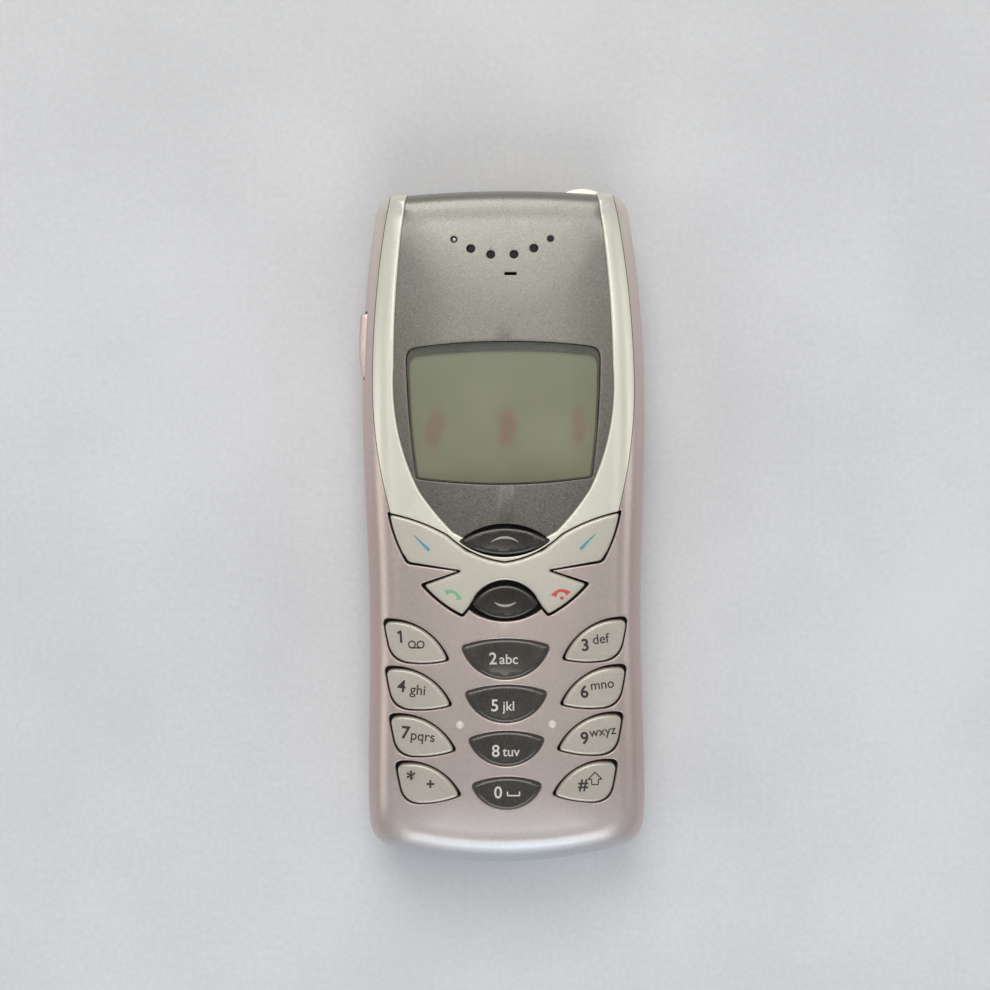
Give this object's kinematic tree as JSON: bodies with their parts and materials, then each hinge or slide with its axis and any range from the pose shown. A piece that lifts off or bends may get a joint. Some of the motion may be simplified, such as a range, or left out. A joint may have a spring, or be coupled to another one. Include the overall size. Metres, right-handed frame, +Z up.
{
  "type": "mobile phone",
  "caption": "Compact candybar mobile phone with waisted body, V-shaped bezel, crowned front, leaf and lens keys, a rocking function-key plate and a slide-off back cover.",
  "frame": {"origin": "centre of the bounding box's bottom: the phone lies on its back cover, which rests on z = 0", "axes": "+X towards the right edge seen from the front, +Y towards the earpiece end, +Z up out of the front face"},
  "size_m": [0.0434, 0.1024, 0.018],
  "materials": {
    "battery_wrap": "dark grey plastic case",
    "bezel_silver": "silver-white satin paint",
    "board_green": "solder-masked epoxy board",
    "card": "off-white card plastic",
    "copper_foil": "copper alloy foil",
    "cover_paint": "pearl pink-silver paint over plastic, satin gloss",
    "dark_plastic": "black glass-filled plastic",
    "dark_rubber": "black rubber",
    "function_silver": "light silver-pink paint with printed symbols",
    "gold_contact": "gold-plated spring metal",
    "grey_plastic": "grey glass-filled plastic",
    "guide_acrylic": "clear acrylic light guide",
    "ir_red": "very dark red infrared filter",
    "key_graphite": "dark graphite gloss with pale printed legends",
    "key_silver": "light silver paint with dark printed legends",
    "lcd": "grey-green reflective display glass",
    "lens_clear": "clear moulded window",
    "panel_graphite": "graphite metallic paint with fine flake, clear coated",
    "polyester": "thin polyester sheet over steel domes",
    "silicone": "translucent silicone",
    "steel": "bright steel",
    "tin_steel": "tin-plated steel",
    "tungsten": "sintered heavy metal",
    "white_plastic": "natural white plastic"
  },
  "bodies": {
    "phone": {"front_cover": "cover_paint", "bezel_frame": "bezel_silver", "window_panel": "panel_graphite", "display_lens": "lens_clear", "display_gasket": "dark_rubber", "lcd_glass": "lcd", "lcd_frame": "white_plastic", "light_guide": "guide_acrylic", "backlight_leds": "white_plastic", "keymat": "silicone", "dome_sheet": "polyester", "main_board": "board_green", "board_shields": "tin_steel", "earpiece_speaker": "dark_plastic", "earpiece_gasket": "dark_rubber", "ringer_buzzer": "dark_plastic", "microphone": "tin_steel", "microphone_boot": "dark_rubber", "bottom_connector": "dark_plastic", "connector_contacts": "gold_contact", "charger_pin": "steel", "chassis": "grey_plastic", "chassis_screws": "steel", "top_cap": "grey_plastic", "antenna_carrier": "white_plastic", "antenna_plate": "copper_foil", "battery": "battery_wrap", "battery_contacts": "gold_contact", "sim_holder": "steel", "sim_card": "card", "infrared_window": "ir_red", "infrared_module": "dark_plastic", "vibra_motor": "steel", "latch_spring": "steel", "power_switch": "tin_steel", "volume_switches": "tin_steel", "backup_cell": "steel"},
    "back_cover_body": {"back_cover": "cover_paint"},
    "release_button_body": {"release_button": "grey_plastic"},
    "power_key_body": {"power_key": "bezel_silver"},
    "volume_key_body": {"volume_key": "cover_paint"},
    "scroll_up_key_body": {"scroll_up_key": "key_graphite"},
    "scroll_down_key_body": {"scroll_down_key": "key_graphite"},
    "function_key_pad_body": {"function_key_pad": "silicone"},
    "function_key_plate_body": {"function_key_plate": "function_silver"},
    "vibra_weight_body": {"vibra_weight": "tungsten"},
    "key_1_body": {"key_1": "key_silver"},
    "key_2_body": {"key_2": "key_graphite"},
    "key_3_body": {"key_3": "key_silver"},
    "key_4_body": {"key_4": "key_silver"},
    "key_5_body": {"key_5": "key_graphite"},
    "key_6_body": {"key_6": "key_silver"},
    "key_7_body": {"key_7": "key_silver"},
    "key_8_body": {"key_8": "key_graphite"},
    "key_9_body": {"key_9": "key_silver"},
    "key_star_body": {"key_star": "key_silver"},
    "key_0_body": {"key_0": "key_graphite"},
    "key_hash_body": {"key_hash": "key_silver"}
  },
  "joints": [
    {"name": "back_cover_slide", "type": "slide", "parent": "phone", "child": "back_cover_body", "axis": [0, -1, 0], "range_m": [0, 0.1]},
    {"name": "release_button_press", "type": "slide", "parent": "phone", "child": "release_button_body", "axis": [0, 0, 1], "range_m": [0, 0.0008], "stiffness_N_per_m": 600},
    {"name": "power_key_press", "type": "slide", "parent": "phone", "child": "power_key_body", "axis": [0, -1, 0], "range_m": [0, 0.0004], "stiffness_N_per_m": 800},
    {"name": "volume_key_rock", "type": "hinge", "parent": "phone", "child": "volume_key_body", "pos_m": [-0.0206, 0.0275, 0.0126], "axis": [0, 0, 1], "range_deg": [-3, 3], "stiffness_Nm_per_rad": 0.02},
    {"name": "scroll_up_key_press", "type": "slide", "parent": "phone", "child": "scroll_up_key_body", "axis": [0, 0, -1], "range_m": [0, 0.0004], "stiffness_N_per_m": 800},
    {"name": "scroll_down_key_press", "type": "slide", "parent": "phone", "child": "scroll_down_key_body", "axis": [0, 0, -1], "range_m": [0, 0.0004], "stiffness_N_per_m": 800},
    {"name": "function_keys_tilt", "type": "hinge", "parent": "phone", "child": "function_key_pad_body", "pos_m": [0, -0.0067, 0.01385], "axis": [1, 0, 0], "range_deg": [-2, 2], "stiffness_Nm_per_rad": 0.5},
    {"name": "function_keys_rock", "type": "hinge", "parent": "function_key_pad_body", "child": "function_key_plate_body", "pos_m": [0, -0.0067, 0.01485], "axis": [0, 1, 0], "range_deg": [-1.5, 1.5], "stiffness_Nm_per_rad": 0.5},
    {"name": "vibra_weight_spin", "type": "hinge", "parent": "phone", "child": "vibra_weight_body", "pos_m": [-0.002, 0.0321, 0.0047], "axis": [1, 0, 0], "continuous": true},
    {"name": "key_1_press", "type": "slide", "parent": "phone", "child": "key_1_body", "axis": [0, 0, -1], "range_m": [0, 0.0004], "stiffness_N_per_m": 800},
    {"name": "key_2_press", "type": "slide", "parent": "phone", "child": "key_2_body", "axis": [0, 0, -1], "range_m": [0, 0.0004], "stiffness_N_per_m": 800},
    {"name": "key_3_press", "type": "slide", "parent": "phone", "child": "key_3_body", "axis": [0, 0, -1], "range_m": [0, 0.0004], "stiffness_N_per_m": 800},
    {"name": "key_4_press", "type": "slide", "parent": "phone", "child": "key_4_body", "axis": [0, 0, -1], "range_m": [0, 0.0004], "stiffness_N_per_m": 800},
    {"name": "key_5_press", "type": "slide", "parent": "phone", "child": "key_5_body", "axis": [0, 0, -1], "range_m": [0, 0.0004], "stiffness_N_per_m": 800},
    {"name": "key_6_press", "type": "slide", "parent": "phone", "child": "key_6_body", "axis": [0, 0, -1], "range_m": [0, 0.0004], "stiffness_N_per_m": 800},
    {"name": "key_7_press", "type": "slide", "parent": "phone", "child": "key_7_body", "axis": [0, 0, -1], "range_m": [0, 0.0004], "stiffness_N_per_m": 800},
    {"name": "key_8_press", "type": "slide", "parent": "phone", "child": "key_8_body", "axis": [0, 0, -1], "range_m": [0, 0.0004], "stiffness_N_per_m": 800},
    {"name": "key_9_press", "type": "slide", "parent": "phone", "child": "key_9_body", "axis": [0, 0, -1], "range_m": [0, 0.0004], "stiffness_N_per_m": 800},
    {"name": "key_star_press", "type": "slide", "parent": "phone", "child": "key_star_body", "axis": [0, 0, -1], "range_m": [0, 0.0004], "stiffness_N_per_m": 800},
    {"name": "key_0_press", "type": "slide", "parent": "phone", "child": "key_0_body", "axis": [0, 0, -1], "range_m": [0, 0.0004], "stiffness_N_per_m": 800},
    {"name": "key_hash_press", "type": "slide", "parent": "phone", "child": "key_hash_body", "axis": [0, 0, -1], "range_m": [0, 0.0004], "stiffness_N_per_m": 800}
  ]
}
